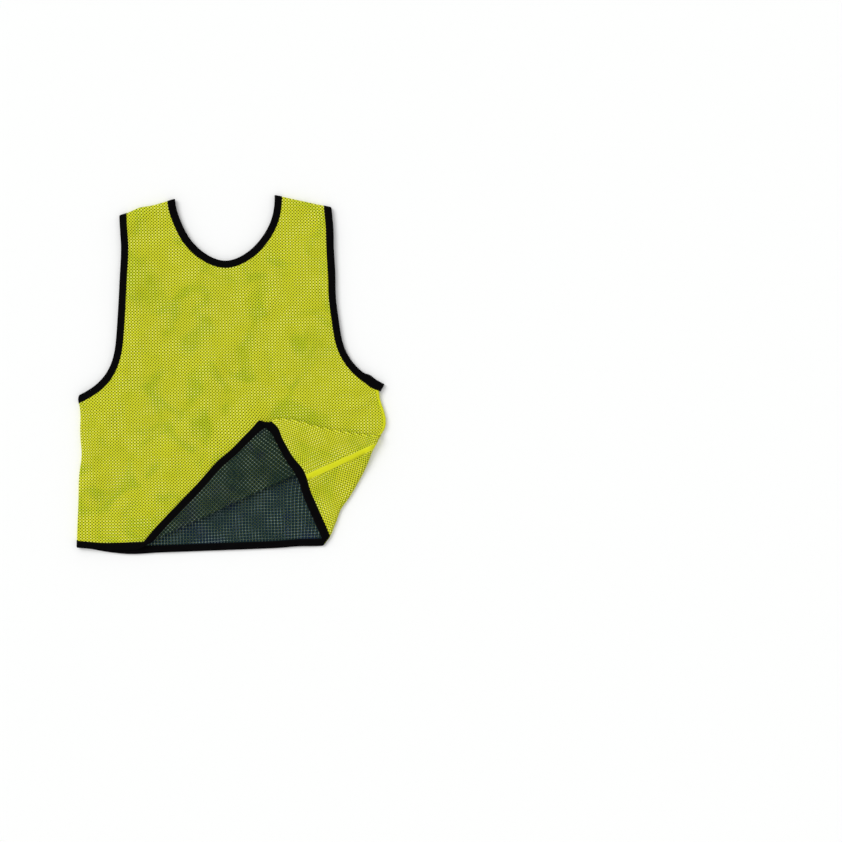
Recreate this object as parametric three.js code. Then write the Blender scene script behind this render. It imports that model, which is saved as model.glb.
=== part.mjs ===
// Reversible mesh training bib, laid flat with its lower right front corner turned up.
// Millimetres. +X is to the right and +Y towards the neck as the bib lies, +Z is up.
// Every piece is drawn in the flat, as it is cut, and then carried through the same folds.
import * as THREE from 'three';

// Driving sizes of the cloth
const WALL = 1.0;
const GAP = 0.3;
const BINDING_WIDTH = 13;
const STRIP_WIDTH = 11;

// Driving sizes of the cut: half of the outline, which is the same on the left and right
const NECK = { halfWidth: 92.4, topY: 652, depth: 114, power: 1.85 };
const SHOULDER = { neckX: 92.4, neckY: 655, tipX: 196.5, tipY: 628.2 };
const SIDE = { topX: 283.5, topY: 294, bottomX: 299.5, bottomY: 14 };
const ARMHOLE = [
  { x: 284.5, y: 297 },
  { x: 266, y: 306.5 },
  { x: 249, y: 318 },
  { x: 234, y: 333.5 },
  { x: 223, y: 352 },
  { x: 216, y: 372 },
  { x: 211.5, y: 396 },
  { x: 206.5, y: 440 },
  { x: 202.5, y: 482 },
  { x: 199.2, y: 530 },
  { x: 197.4, y: 580 },
  { x: 196.5, y: 628 },
];
const HEM = { rise: 14, power: 5, frontLift: 8.2, liftFrom: -290, liftTo: -185 };
const NECK_STEPS = 30;
const ARMHOLE_STEPS = 22;
const HEM_STEP = 22;
const OVERRUN = 24;

// Heights in the stack. At a bound edge the inner ply runs into the tape, between its two walls,
// and the outer ply stops beside the outer wall, level with it.
const PLY = WALL + GAP;
const STACK = 3 * WALL + 2 * GAP;
const BACK = { tape: [0, WALL, 2 * PLY, STACK], outer: [0, WALL], inner: [PLY, PLY + WALL] };
const FRONT_BASE = STACK + GAP;
const FRONT = {
  tape: BACK.tape.map((z) => z + FRONT_BASE),
  outer: [FRONT_BASE + 2 * PLY, FRONT_BASE + STACK],
  inner: [FRONT_BASE + PLY, FRONT_BASE + PLY + WALL],
};

// The folds that turn the corner up. An angle is a fold line's direction from +X, and the point
// is where the outermost cloth of that fold passes.
const FOLD_RADIUS = (STACK + GAP) / 2;
const CORNER_RADIUS = 3 * FOLD_RADIUS;
const TURN_UP = { x: 283.1, y: 204.6, angle: 22.64, facets: 4 };
const TURN_BACK = { x: 281.9, y: 207.5, angle: -10.06, facets: 4 };
const CORNER = { x: 230.2, y: 120.3, angle: 58.7, facets: 5 };
// Below the turned-up edge nothing lies under the turned corner, so it sinks onto the back
const SINK = [
  { from: 6, share: 0 },
  { from: 18, share: 0.12 },
  { from: 36, share: 0.5 },
  { from: 54, share: 0.88 },
  { from: 66, share: 1 },
];
const LIP_END_Y = 245;

// Colours and roughness of the cloths
const YELLOW = { color: 0xbdc02d, roughness: 0.8 };
const BRIGHT_YELLOW = { color: 0xd3d636, roughness: 0.7 };
const GREEN = { color: 0x2a4242, roughness: 0.75 };
const BLACK = { color: 0x0e0d0b, roughness: 0.9 };

const vec = (x, y) => new THREE.Vector2(x, y);
const unit = (degrees) => {
  const angle = THREE.MathUtils.degToRad(degrees);
  return vec(Math.cos(angle), Math.sin(angle));
};

// A straight line: a point on it and the normal of its far side
const line = (point, normal) => ({ point, normal });
const beyond = (p, { point, normal }) => (p.x - point.x) * normal.x + (p.y - point.y) * normal.y;
const movedBy = ({ point, normal }, d) => line(point.clone().addScaledVector(normal, d), normal);
const crossing = (a, b, limit) => {
  const da = beyond(a, limit);
  const db = beyond(b, limit);
  return a.clone().lerp(b, da / (da - db));
};
const meet = (first, second) => {
  const along = vec(-first.normal.y, first.normal.x);
  const far = first.point.clone().addScaledVector(along, 1);
  return crossing(first.point, far, second);
};

// A fold: a half turn of cloth about a line, drawn as flat facets. Its start line is where the
// cloth leaves the flat, and the outermost cloth passes radius + half a stack beyond it.
function makeFold({ x, y, angle, facets }, side, radius, middle) {
  const normal = unit(angle + side * 90);
  const outermost = line(vec(x, y), normal);
  const start = movedBy(outermost, -(radius + STACK / 2));
  return { start, normal, facets, radius, middle, length: Math.PI * radius };
}
const frontMiddle = FRONT_BASE + STACK / 2;
const turnUp = makeFold(TURN_UP, -1, FOLD_RADIUS, frontMiddle);
const turnBack = makeFold(TURN_BACK, 1, FOLD_RADIUS, frontMiddle + 2 * FOLD_RADIUS);
const corner = makeFold(CORNER, -1, CORNER_RADIUS, STACK / 2);
const turnUpEdge = line(vec(TURN_UP.x, TURN_UP.y), turnUp.normal);

// Where a flat point lands when it is past the whole fold. It is its own inverse.
const turned = (p, fold) =>
  p.clone().addScaledVector(fold.normal, fold.length - 2 * beyond(p, fold.start));

function curl(p, fold) {
  const d = beyond(p, fold.start);
  if (d <= 0) {
    return p;
  }
  if (d >= fold.length) {
    const flat = turned(p, fold);
    return new THREE.Vector3(flat.x, flat.y, 2 * (fold.middle + fold.radius) - p.z);
  }
  const reach = fold.radius - (p.z - fold.middle);
  const ring = (step) => {
    const turn = (step * Math.PI) / fold.facets;
    return [reach * Math.sin(turn), fold.middle + fold.radius - reach * Math.cos(turn)];
  };
  const place = (d / fold.length) * fold.facets;
  const step = Math.min(Math.floor(place), fold.facets - 1);
  const [outA, upA] = ring(step);
  const [outB, upB] = ring(step + 1);
  const share = place - step;
  const out = outA + (outB - outA) * share - d;
  return new THREE.Vector3(
    p.x + fold.normal.x * out,
    p.y + fold.normal.y * out,
    upA + (upB - upA) * share,
  );
}

function sinkShare(depth) {
  if (depth <= SINK[0].from) {
    return 0;
  }
  for (let i = 1; i < SINK.length; i += 1) {
    if (depth < SINK[i].from) {
      const share = (depth - SINK[i - 1].from) / (SINK[i].from - SINK[i - 1].from);
      return SINK[i - 1].share + share * (SINK[i].share - SINK[i - 1].share);
    }
  }
  return 1;
}

const layFlat = (x, y, z) => new THREE.Vector3(x, y, z);
function layFront(x, y, z) {
  const p = new THREE.Vector3(x, y, z);
  const up = curl(p, turnUp);
  return beyond(p, turnUp.start) > turnUp.length ? curl(up, turnBack) : up;
}
function layBack(x, y, z) {
  const p = new THREE.Vector3(x, y, z);
  const d = beyond(p, corner.start);
  const up = curl(p, corner);
  if (d > 0) {
    const edge = vec(x, y).addScaledVector(corner.normal, -d);
    const around = Math.min(d / corner.length, 1);
    const place = d < corner.length ? edge : vec(up.x, up.y);
    const lift = (1 - Math.cos(Math.PI * around)) / 2;
    up.z -= 4 * FOLD_RADIUS * sinkShare(beyond(place, turnUpEdge)) * lift;
  }
  return up;
}

// The straight edges of the outline
const mirrorLine = ({ point, normal }) => line(vec(-point.x, point.y), vec(-normal.x, normal.y));
function edgeLine(x1, y1, x2, y2) {
  const along = vec(x2 - x1, y2 - y1).normalize();
  return line(vec(x1, y1), vec(along.y, -along.x));
}
const rightSide = edgeLine(SIDE.bottomX, SIDE.bottomY, SIDE.topX, SIDE.topY);
const leftSide = mirrorLine(rightSide);
const rightShoulder = edgeLine(SHOULDER.tipX, SHOULDER.tipY, SHOULDER.neckX, SHOULDER.neckY);
const leftShoulder = mirrorLine(rightShoulder);

// The side seam on the turned corner: the right side edge of the back, folded over
const seamTop = turned(vec(SIDE.topX, SIDE.topY), corner);
const seamEnd = turned(vec(SIDE.bottomX, SIDE.bottomY), corner);
const seamAlong = seamTop.clone().sub(seamEnd).normalize();
const frontFromTop = (p) => turned(turned(p, turnBack), turnUp);

// The right edge of the front as cut: the side, the stretch inside the back's fold, and the seam
const sideMeetsCorner = meet(rightSide, corner.start);
const cornerMeetsTurnUp = meet(corner.start, turnUp.start);
const seamMeetsTurnBack = meet(line(seamEnd, vec(-seamAlong.y, seamAlong.x)), turnBack.start);
const turnBackFlatEnd = turned(seamMeetsTurnBack, turnUp);
const turnBackFlatNormal = turned(seamMeetsTurnBack.clone().add(turnBack.normal), turnUp)
  .sub(turnBackFlatEnd);
const frontSeamStart = turnBackFlatEnd.clone().addScaledVector(turnBackFlatNormal, turnBack.length);
const frontSeamEnd = frontFromTop(seamEnd);
const frontSeamAlong = frontSeamEnd.clone().sub(frontSeamStart).normalize();
const frontRightEdge = [
  frontSeamEnd.clone().addScaledVector(frontSeamAlong, OVERRUN),
  frontSeamStart,
  turnBackFlatEnd,
  turned(cornerMeetsTurnUp, turnUp),
  cornerMeetsTurnUp,
  sideMeetsCorner,
];
const aboveSide = vec(-rightSide.normal.y, rightSide.normal.x).multiplyScalar(OVERRUN);
const sideTop = vec(SIDE.topX, SIDE.topY);
const backRightEdge = [
  vec(SIDE.bottomX, SIDE.bottomY).sub(aboveSide),
  sideTop,
  sideTop.clone().add(aboveSide),
];
frontRightEdge.push(sideTop, sideTop.clone().add(aboveSide));

// The curved edges of the outline, each run with the cloth on its left
function extended(points) {
  const first = points[0].clone().sub(points[1]).setLength(OVERRUN).add(points[0]);
  const count = points.length;
  const last = points[count - 1].clone().sub(points[count - 2]).setLength(OVERRUN);
  return [first, ...points, last.add(points[count - 1])];
}
function neckEdge() {
  const points = [];
  for (let i = 0; i <= NECK_STEPS; i += 1) {
    const angle = (Math.PI * i) / NECK_STEPS;
    const across = Math.abs(Math.cos(angle)) ** (2 / NECK.power) * Math.sign(Math.cos(angle));
    const down = Math.sin(angle) ** (2 / NECK.power);
    points.push(vec(NECK.halfWidth * across, NECK.topY - NECK.depth * down));
  }
  return extended(points);
}
function armholeEdge() {
  const curve = new THREE.SplineCurve(ARMHOLE.map(({ x, y }) => vec(x, y)));
  return extended(curve.getSpacedPoints(ARMHOLE_STEPS));
}
function hemEdge(isFront) {
  const points = [];
  const endX = isFront ? frontSeamEnd.x : SIDE.bottomX;
  const count = Math.round((endX + SIDE.bottomX) / HEM_STEP);
  for (let i = 0; i <= count; i += 1) {
    const x = -SIDE.bottomX + ((endX + SIDE.bottomX) * i) / count;
    const across = Math.abs(x / SIDE.bottomX) ** HEM.power;
    const lift = THREE.MathUtils.smoothstep(x, HEM.liftFrom, HEM.liftTo) * HEM.frontLift;
    const endRise = frontSeamEnd.y - HEM.frontLift;
    const frontRise = x < 0 ? HEM.rise * across : endRise * (x / endX) ** 3;
    points.push(vec(x, isFront ? frontRise + lift : HEM.rise * across));
  }
  return extended(points);
}
const mirrored = (points) => points.map((p) => vec(-p.x, p.y)).reverse();
const edges = {
  neck: neckEdge(),
  armholeRight: armholeEdge(),
  armholeLeft: mirrored(armholeEdge()),
  hemFront: hemEdge(true),
  hemBack: hemEdge(false),
};

// The same edge, moved into the cloth
function inset(points, distance) {
  return points.map((p, i) => {
    const before = points[Math.max(i - 1, 0)];
    const after = points[Math.min(i + 1, points.length - 1)];
    const along = after.clone().sub(before).normalize();
    return p.clone().add(vec(-along.y, along.x).multiplyScalar(distance));
  });
}
// The stretch of an edge between two other edges, given by their lines
function between(points, startLine, endLine) {
  let first = points.findIndex((p) => beyond(p, startLine) <= 0);
  const start = crossing(points[first - 1], points[first], startLine);
  let last = first;
  while (beyond(points[last + 1], endLine) <= 0) {
    last += 1;
  }
  const end = crossing(points[last], points[last + 1], endLine);
  if (start.distanceTo(points[first]) < 1e-6) {
    first += 1;
  }
  return [start, ...points.slice(first, last + 1), end];
}

// A right edge moved in from the seam, with the lines that end a curved edge at it
function rightEdgeIn(isFront, distance) {
  const points = (isFront ? frontRightEdge : backRightEdge).map((p) => vec(p.x - distance, p.y));
  const lower = edgeLine(points[0].x, points[0].y, points[1].x, points[1].y);
  const upper = line(points[points.length - 1], rightSide.normal);
  return { lower, upper, corners: points.slice(1, -2) };
}
const leftEdgeIn = (distance) => line(vec(-SIDE.topX + distance, SIDE.topY), leftSide.normal);
const facingBack = ({ point, normal }) => line(point, normal.clone().negate());

// A panel's outline: set in from its bound edges, its side seams and its shoulder seams
function panelOutline({ isFront, bound, left, right, shoulder }) {
  const rightEdge = rightEdgeIn(isFront, right);
  const leftEdge = leftEdgeIn(left);
  const hem = inset(isFront ? edges.hemFront : edges.hemBack, bound);
  const shoulderRight = movedBy(rightShoulder, -shoulder);
  const shoulderLeft = movedBy(leftShoulder, -shoulder);
  return [
    ...between(hem, leftEdge, rightEdge.lower),
    ...rightEdge.corners,
    ...between(inset(edges.armholeRight, bound), rightEdge.upper, shoulderRight),
    ...between(inset(edges.neck, bound), shoulderRight, shoulderLeft),
    ...between(inset(edges.armholeLeft, bound), shoulderLeft, leftEdge),
  ];
}
// A side strip's outline: the margin of a panel beside its side seam
function rightStripOutline(bound) {
  const seam = rightEdgeIn(true, 0);
  const inner = rightEdgeIn(true, STRIP_WIDTH);
  return [
    ...between(inset(edges.hemFront, bound), facingBack(inner.lower), seam.lower),
    ...seam.corners,
    ...between(inset(edges.armholeRight, bound), seam.upper, facingBack(inner.upper)),
    ...inner.corners.reverse(),
  ];
}
function leftStripOutline(bound) {
  const inner = facingBack(leftEdgeIn(STRIP_WIDTH));
  return [
    ...between(inset(edges.hemBack, bound), leftSide, inner),
    ...between(inset(edges.armholeLeft, bound), inner, leftSide),
  ];
}

// Flat cells: convex pieces of a pattern, which cuts divide further
const centre = (cell) =>
  cell.reduce((sum, p) => sum.add(p), vec(0, 0)).divideScalar(cell.length);
const SNAP = 0.05;
const TINY = 1e-6;
function snappedCrossing(a, b, limit) {
  const point = crossing(a, b, limit);
  if (point.distanceTo(a) < SNAP) {
    return a;
  }
  return point.distanceTo(b) < SNAP ? b : point;
}
function half(cell, limit, side) {
  const kept = [];
  const keep = (p) => {
    if (kept[kept.length - 1] !== p) {
      kept.push(p);
    }
  };
  cell.forEach((p, i) => {
    const next = cell[(i + 1) % cell.length];
    const a = side * beyond(p, limit);
    const b = side * beyond(next, limit);
    if (a <= TINY) {
      keep(p);
    }
    if ((a < -TINY && b > TINY) || (a > TINY && b < -TINY)) {
      keep(snappedCrossing(p, next, limit));
    }
  });
  return kept[0] === kept[kept.length - 1] ? kept.slice(1) : kept;
}
const isInside = (cell, limit) => cell.every((p) => beyond(p, limit) <= TINY);
const isOutside = (cell, limit) => cell.every((p) => beyond(p, limit) >= -TINY);
const isCell = (cell) => cell.length > 2;
const area = (cell) => cell.reduce((sum, p, i) => {
  const next = cell[(i + 1) % cell.length];
  return sum + (p.x * next.y - next.x * p.y) / 2;
}, 0);
function cutCells(cells, limits, where = () => true) {
  let pieces = cells;
  limits.forEach((limit) => {
    pieces = pieces.flatMap((cell) => {
      if (isInside(cell, limit) || isOutside(cell, limit) || !where(centre(cell))) {
        return [cell];
      }
      return [half(cell, limit, 1), half(cell, limit, -1)].filter(isCell);
    });
  });
  return pieces;
}
const keepInside = (cells, limit) => cells
  .filter((cell) => !isOutside(cell, limit))
  .map((cell) => (isInside(cell, limit) ? cell : half(cell, limit, 1)))
  .filter(isCell);
function cellsOf(outline) {
  return THREE.ShapeUtils.triangulateShape(outline, [])
    .map((corners) => corners.map((i) => outline[i]))
    .map((cell) => (area(cell) > 0 ? cell : cell.slice().reverse()))
    .filter((cell) => area(cell) > 1e-5);
}

// The cuts that follow the facets of the folds
const foldCuts = (fold) => Array.from(
  { length: fold.facets + 1 },
  (_, i) => movedBy(fold.start, (fold.length * i) / fold.facets),
);
function cutFront(cells) {
  const flapCuts = foldCuts(turnBack).map(({ point, normal }) => {
    const flat = turned(point, turnUp);
    return line(flat, turned(point.clone().add(normal), turnUp).sub(flat));
  });
  const onFlap = (p) => beyond(p, turnUp.start) > turnUp.length;
  return cutCells(cutCells(cells, foldCuts(turnUp)), flapCuts, onFlap);
}
function cutBack(cells) {
  const sinkLines = SINK.map(({ from }) => movedBy(turnUpEdge, from));
  const overCuts = sinkLines.map(({ point, normal }) => {
    const flat = turned(point, corner);
    return line(flat, turned(point.clone().add(normal), corner).sub(flat));
  });
  const along = vec(-corner.normal.y, corner.normal.x);
  const roundCuts = sinkLines.map((sunk) => line(meet(corner.start, sunk), along));
  const depth = (p) => beyond(p, corner.start);
  const folded = cutCells(cells, foldCuts(corner));
  const round = cutCells(folded, roundCuts, (p) => depth(p) > 0 && depth(p) < corner.length);
  return cutCells(round, overCuts, (p) => depth(p) > corner.length);
}

// Where a cell's edge passes another cell's corner, the edge takes that corner in
function joined(cells) {
  const corners = new Map();
  cells.flat().forEach((p) => corners.set(`${p.x.toFixed(5)},${p.y.toFixed(5)}`, p));
  const all = [...corners.values()];
  return cells.map((cell) => cell.flatMap((p, i) => {
    const next = cell[(i + 1) % cell.length];
    const along = next.clone().sub(p);
    const length = along.length();
    const on = all
      .map((q) => ({ q, share: q.clone().sub(p).dot(along) / length ** 2 }))
      .filter(({ q, share }) => {
        const off = Math.abs(along.cross(q.clone().sub(p))) / length;
        return off < 2e-5 && share * length > 1e-3 && (1 - share) * length > 1e-3;
      })
      .sort((a, b) => a.share - b.share);
    return [p, ...on.map(({ q }) => q)];
  }));
}

// One closed solid from layers: each cell is solid between some of its layer's heights. Faces
// of two layers that meet exactly leave the solid, which joins the layers.
function layeredGeometry(layers) {
  const corners = [];
  const grid = new Map();
  const gridSize = 0.01;
  const weld = 2e-3;
  const cornerAt = (point) => {
    const at = [point.x, point.y, point.z].map((value) => Math.round(value / gridSize));
    for (let i = -1; i <= 1; i += 1) {
      for (let j = -1; j <= 1; j += 1) {
        for (let k = -1; k <= 1; k += 1) {
          const near = grid.get(`${at[0] + i},${at[1] + j},${at[2] + k}`) ?? [];
          const found = near.find((index) => corners[index].distanceTo(point) < weld);
          if (found !== undefined) {
            return found;
          }
        }
      }
    }
    const key = at.join(',');
    grid.set(key, [...(grid.get(key) ?? []), corners.length]);
    corners.push(point);
    return corners.length - 1;
  };
  const faces = new Map();
  const addFace = (loop) => {
    const face = loop.filter((corner, i) => corner !== loop[(i + 1) % loop.length]);
    if (face.length < 3) {
      return;
    }
    const key = [...face].sort((a, b) => a - b).join(',');
    if (faces.has(key)) {
      faces.delete(key);
    } else {
      faces.set(key, face);
    }
  };
  layers.forEach(({ cells, heights, place, solidAt }) => {
    const fitted = joined(cells).map((points) => ({ points, solid: solidAt(centre(points)) }));
    const key = (p) => `${p.x.toFixed(4)},${p.y.toFixed(4)}`;
    const owner = new Map();
    fitted.forEach(({ points, solid }) => points.forEach((p, i) => {
      owner.set(`${key(p)}>${key(points[(i + 1) % points.length])}`, solid);
    }));
    const at = (p, level) => cornerAt(place(p.x, p.y, heights[level]));
    fitted.forEach(({ points, solid }) => {
      heights.forEach((_, level) => {
        const below = level > 0 && solid[level - 1];
        const above = level < heights.length - 1 && solid[level];
        if (Boolean(below) !== Boolean(above)) {
          const loop = points.map((p) => at(p, level));
          addFace(below ? loop : loop.reverse());
        }
      });
      points.forEach((p, i) => {
        const next = points[(i + 1) % points.length];
        const other = owner.get(`${key(next)}>${key(p)}`) ?? [];
        solid.forEach((isSolid, level) => {
          if (isSolid && !other[level]) {
            addFace([at(p, level), at(next, level), at(next, level + 1), at(p, level + 1)]);
          }
        });
      });
    });
  });
  const triangles = [];
  faces.forEach((face) => {
    if (face.length <= 4) {
      const least = face.indexOf(Math.min(...face));
      const turn = [...face.slice(least), ...face.slice(0, least)];
      for (let i = 1; i < turn.length - 1; i += 1) {
        triangles.push(turn[0], turn[i], turn[i + 1]);
      }
      return;
    }
    const middle = face.reduce((sum, i) => sum.add(corners[i]), new THREE.Vector3());
    corners.push(middle.divideScalar(face.length));
    face.forEach((corner, i) => {
      triangles.push(corner, face[(i + 1) % face.length], corners.length - 1);
    });
  });
  const geometry = new THREE.BufferGeometry();
  const flat = corners.flatMap((p) => [p.x, p.y, p.z]);
  geometry.setAttribute('position', new THREE.Float32BufferAttribute(flat, 3));
  geometry.setIndex(triangles);
  geometry.computeVertexNormals();
  return geometry;
}

// The four plies of mesh. Each outer ply turns over the seams as a lip, so that front and back
// meet there.
function ply(isFront, outline, heights) {
  const cut = isFront ? cutFront : cutBack;
  return layeredGeometry([{
    cells: cut(cellsOf(outline)),
    heights,
    place: isFront ? layFront : layBack,
    solidAt: () => [true],
  }]);
}
function plyWithLips(isFront, outline, seams) {
  const cut = isFront ? cutFront : cutBack;
  const lipLines = seams.map((seam) => movedBy(seam, -WALL));
  const lipEnd = line(vec(0, LIP_END_Y), vec(0, 1));
  const byRightSide = (p) => p.x > SIDE.topX - STRIP_WIDTH;
  const cells = cutCells(cutCells(cut(cellsOf(outline)), [lipEnd], byRightSide), lipLines);
  const inLip = (p) => lipLines.some((seam) => beyond(p, seam) > 0) &&
    !(byRightSide(p) && p.y < LIP_END_Y);
  return layeredGeometry([{
    cells,
    heights: isFront ? [FRONT.tape[0], ...FRONT.outer] : [...BACK.outer, BACK.tape[3]],
    place: isFront ? layFront : layBack,
    solidAt: (p) => (isFront ? [inLip(p), true] : [true, inLip(p)]),
  }]);
}
const innerInset = WALL + GAP;
const innerBound = WALL + 2 * GAP;
const outerBound = BINDING_WIDTH + GAP;
const stripInset = STRIP_WIDTH + GAP;
const innerSizes = { bound: innerBound, left: innerInset, right: innerInset, shoulder: innerInset };
const innerFront = ply(true, panelOutline({ isFront: true, ...innerSizes }), FRONT.inner);
const innerBack = ply(false, panelOutline({ isFront: false, ...innerSizes }), BACK.inner);
const outerFront = plyWithLips(
  true,
  panelOutline({ isFront: true, bound: outerBound, left: 0, right: stripInset, shoulder: 0 }),
  [leftSide, rightShoulder, leftShoulder],
);
const outerBack = plyWithLips(
  false,
  panelOutline({ isFront: false, bound: outerBound, left: stripInset, right: GAP, shoulder: 0 }),
  [rightSide, rightShoulder, leftShoulder],
);

// The side strips: solid tape over each side seam, on the front at the right and on the back at
// the left
const stripRight = plyWithLips(true, rightStripOutline(outerBound), [rightSide]);
const stripLeft = plyWithLips(false, leftStripOutline(outerBound), [leftSide]);

// Bindings: tape folded over the edge of the plies, a channel with one wall below, one wall
// above and one round the edge
const rowCells = (outer, inner) => outer.slice(1).map((p, i) => [outer[i], p, inner[i + 1], inner[i]]);
function bandCells(edge) {
  return {
    rim: rowCells(edge, inset(edge, WALL)),
    walls: rowCells(inset(edge, WALL), inset(edge, BINDING_WIDTH)),
  };
}
function ringGeometry(edge, ends) {
  const band = bandCells(edge);
  const trim = (cells) => cutCells(
    ends.reduce((kept, end) => keepInside(kept, end), cells),
    ends.map((end) => movedBy(end, -WALL)),
  );
  const isEnd = (p) => ends.some((end) => beyond(p, end) > -WALL);
  const rimEdge = inset(edge, WALL / 2);
  const isRim = (p) => rimEdge.slice(1).some((q, i) => {
    const along = q.clone().sub(rimEdge[i]);
    const from = p.clone().sub(rimEdge[i]);
    const share = THREE.MathUtils.clamp(from.dot(along) / along.lengthSq(), 0, 1);
    return from.addScaledVector(along, -share).length() < WALL / 2;
  });
  const web = [true, true, true, true, true, true, true];
  const rim = [true, true, true, false, true, true, true];
  const walls = [true, false, true, false, true, false, true];
  return layeredGeometry([{
    cells: [...trim(band.rim), ...trim(band.walls)],
    heights: [...BACK.tape, ...FRONT.tape],
    place: layFlat,
    solidAt: (p) => {
      if (isEnd(p)) {
        return web;
      }
      return isRim(p) ? rim : walls;
    },
  }]);
}
const neckBinding = ringGeometry(edges.neck, [rightShoulder, leftShoulder]);
const armholeRight = ringGeometry(edges.armholeRight, [rightSide, rightShoulder]);
const armholeLeft = ringGeometry(edges.armholeLeft, [leftShoulder, leftSide]);

// The hem binding runs round the whole hem: along the back, over the seam and along the front
function hemRows(isFront) {
  const edge = isFront ? edges.hemFront : edges.hemBack;
  const upLeftSide = vec(leftSide.normal.y, -leftSide.normal.x);
  return [0, WALL, BINDING_WIDTH].map((distance) => {
    const row = inset(edge, distance).slice(2, -2);
    const leftEnd = vec(-SIDE.bottomX, SIDE.bottomY).addScaledVector(upLeftSide, distance);
    const seamPoint = seamEnd.clone().addScaledVector(seamAlong, distance);
    const rightEnd = isFront ? frontFromTop(seamPoint) : turned(seamPoint, corner);
    return [leftEnd, leftEnd.clone().add(vec(WALL, 0)), ...row, rightEnd];
  });
}
function isWithin(p, corners) {
  return corners.every((q, i) => {
    const next = corners[(i + 1) % corners.length];
    return next.clone().sub(q).cross(p.clone().sub(q)) > 0;
  });
}
function hemGeometry() {
  const webLine = movedBy(leftSide, -WALL);
  const layers = [true, false].map((isFront) => {
    const [outer, rim, inner] = hemRows(isFront);
    const cut = isFront ? cutFront : cutBack;
    const rimCells = rowCells(outer, rim);
    const inRim = (p) => rimCells.some((cell) => isWithin(p, cell));
    return {
      cells: cut([...rimCells, ...rowCells(rim, inner)]),
      heights: isFront ? FRONT.tape : BACK.tape,
      place: isFront ? layFront : layBack,
      solidAt: (p) => [true, inRim(p) || beyond(p, webLine) > 0, true],
    };
  });
  const [outer, rim, inner] = hemRows(false).map((row) => row.slice(0, 2));
  layers.push({
    cells: [...rowCells(outer, rim), ...rowCells(rim, inner)],
    heights: [BACK.tape[3], FRONT.tape[0]],
    place: layFlat,
    solidAt: () => [true],
  });
  return layeredGeometry(layers);
}

// The bib, with its origin at the middle of its underside
const bib = new THREE.Group();
function addPiece(name, geometry, finish) {
  const mesh = new THREE.Mesh(geometry, new THREE.MeshStandardMaterial({ ...finish, metalness: 0 }));
  mesh.name = name;
  bib.add(mesh);
}
addPiece('outer_back', outerBack, YELLOW);
addPiece('inner_back', innerBack, GREEN);
addPiece('inner_front', innerFront, GREEN);
addPiece('outer_front', outerFront, YELLOW);
addPiece('side_strip_right', stripRight, BRIGHT_YELLOW);
addPiece('side_strip_left', stripLeft, BRIGHT_YELLOW);
addPiece('neck_binding', neckBinding, BLACK);
addPiece('armhole_binding_right', armholeRight, BLACK);
addPiece('armhole_binding_left', armholeLeft, BLACK);
addPiece('hem_binding', hemGeometry(), BLACK);
const box = new THREE.Box3().setFromObject(bib);
bib.position.set(-(box.min.x + box.max.x) / 2, -(box.min.y + box.max.y) / 2, -box.min.z);

export default bib;
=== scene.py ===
import math
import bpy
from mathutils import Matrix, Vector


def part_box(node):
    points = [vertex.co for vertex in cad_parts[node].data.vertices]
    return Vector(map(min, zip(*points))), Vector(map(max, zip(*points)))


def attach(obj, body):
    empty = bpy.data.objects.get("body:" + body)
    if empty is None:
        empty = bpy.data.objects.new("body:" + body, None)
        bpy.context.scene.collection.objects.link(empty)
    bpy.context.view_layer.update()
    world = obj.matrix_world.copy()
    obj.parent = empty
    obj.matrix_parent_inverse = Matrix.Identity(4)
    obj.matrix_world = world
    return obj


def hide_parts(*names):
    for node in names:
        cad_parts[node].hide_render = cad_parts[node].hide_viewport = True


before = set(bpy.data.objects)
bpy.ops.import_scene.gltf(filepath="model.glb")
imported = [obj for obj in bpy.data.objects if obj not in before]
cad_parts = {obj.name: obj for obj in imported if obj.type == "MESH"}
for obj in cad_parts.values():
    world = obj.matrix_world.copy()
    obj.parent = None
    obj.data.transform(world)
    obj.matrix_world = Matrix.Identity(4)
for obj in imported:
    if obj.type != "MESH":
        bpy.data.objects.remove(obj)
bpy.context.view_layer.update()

from types import SimpleNamespace

import bmesh
import bpy
from mathutils import Vector, noise

# Back, outer ply: yellow sports mesh, cut on the straight grain. It is the lowest cloth of the
# bib and lies on the floor; its lower right corner is folded over onto the front. It is sewn to
# the front at the sides and shoulders and bound with tape everywhere else.

# Sizes are in millimetres. x is across the bib from its middle, y up from the hem as it is cut.
NECK_HALF_WIDTH = 92.4
NECK_TOP_Y = 652
NECK_DEPTH = 114
NECK_POWER = 1.85
SHOULDER_AT_NECK = (92.4, 655)
SHOULDER_TIP = (196.5, 628.2)
SIDE_TOP = (283.5, 294)
SIDE_BOTTOM = (299.5, 14)
RIGHT_TAPE_END = (277.8, 285.5, 286.2, 298.3)
ARMHOLE = [
    (284.5, 297), (266, 306.5), (249, 318), (234, 333.5), (223, 352), (216, 372), (211.5, 396),
    (206.5, 440), (202.5, 482), (199.2, 530), (197.4, 580), (196.5, 628),
]
SIDE_CURVE = [
    (279.5, 203.4), (282.6, 213), (283.3, 222.3), (282.9, 233.5), (279.8, 248.5), (276.5, 259.8),
    (274.1, 271.8), (275.4, 282),
]
HEM_RISE = 14
HEM_POWER = 5
FRONT_LIFT = 8.2
FRONT_LIFT_FROM = -290
FRONT_LIFT_TO = -185
TURN_UP_AT = (283.1, 204.6)
SEAM_END_X = 282.5
SEAM_ANGLE = 22.0
SEAM_PAST_CORNER = 10

# The front's stack of cloth and tape lies on the back's, and each is this high
STACK = 3.6
FRONT_BASE = 3.9
SEAM_HEIGHT = 3.75
CLOTH = 0.4
FOLD_RADIUS = 1.95
GRID = 5.5


def at(x, y, z=0.0):
    return Vector((x, y, z))


def unit(degrees):
    return at(math.cos(math.radians(degrees)), math.sin(math.radians(degrees)))


def line(point, normal):
    return SimpleNamespace(point=point, normal=normal)


def beyond(p, limit):
    """How far a point lies past a line, on the side of its normal."""
    return (p - limit.point).dot(limit.normal)


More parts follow.
